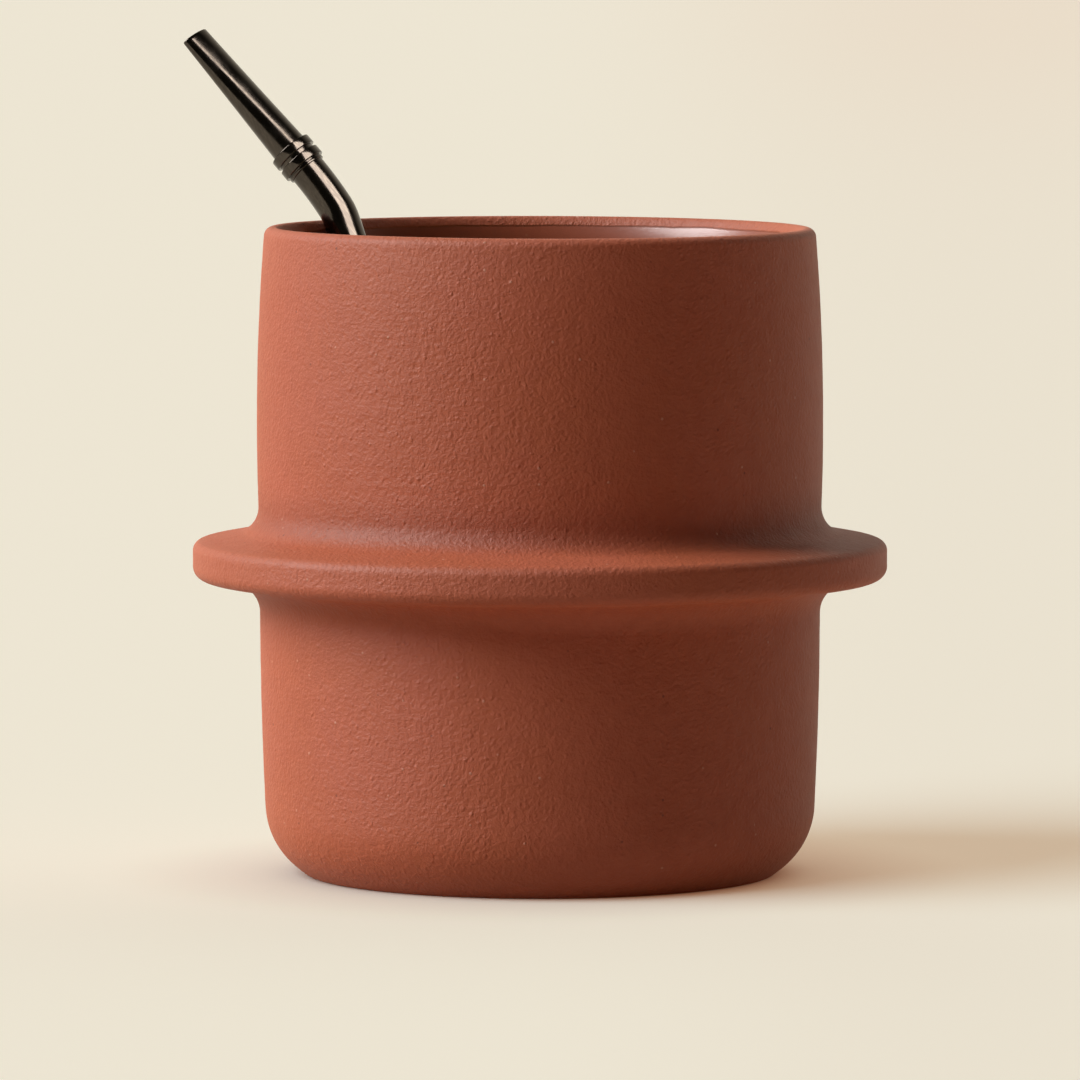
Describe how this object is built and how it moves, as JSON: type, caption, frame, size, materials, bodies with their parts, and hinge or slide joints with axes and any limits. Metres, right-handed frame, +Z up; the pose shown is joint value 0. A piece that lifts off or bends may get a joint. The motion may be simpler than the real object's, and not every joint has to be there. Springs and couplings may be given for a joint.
{
  "type": "mate drink in a clay cup",
  "caption": "Thrown clay cup with a ring of clay round its waist, holding wet yerba leaf and a pool of infusion, with a bent metal straw leaning on its rim.",
  "frame": {"origin": "centre of the cup's foot, on the surface that it stands on", "axes": "+Z up the cup's axis, -Y towards the viewer, the straw leans towards -X and +Y"},
  "size_m": [0.1025, 0.1004, 0.1216],
  "materials": {
    "clay": "unglazed red clay, matt and finely grained, with a clear glaze inside",
    "leaf": "chopped dried leaf and stem, wet at the pool and dry on the heap",
    "infusion": "cloudy green-brown liquid with pale froth",
    "straw_metal": "dark gunmetal coating, polished, with fine wear scratches"
  },
  "bodies": {
    "root": {"cup": "clay", "yerba_leaf": "leaf", "infusion": "infusion", "straw_tube": "straw_metal", "straw_collar": "straw_metal", "straw_mouthpiece": "straw_metal", "straw_strainer": "straw_metal"}
  },
  "joints": []
}
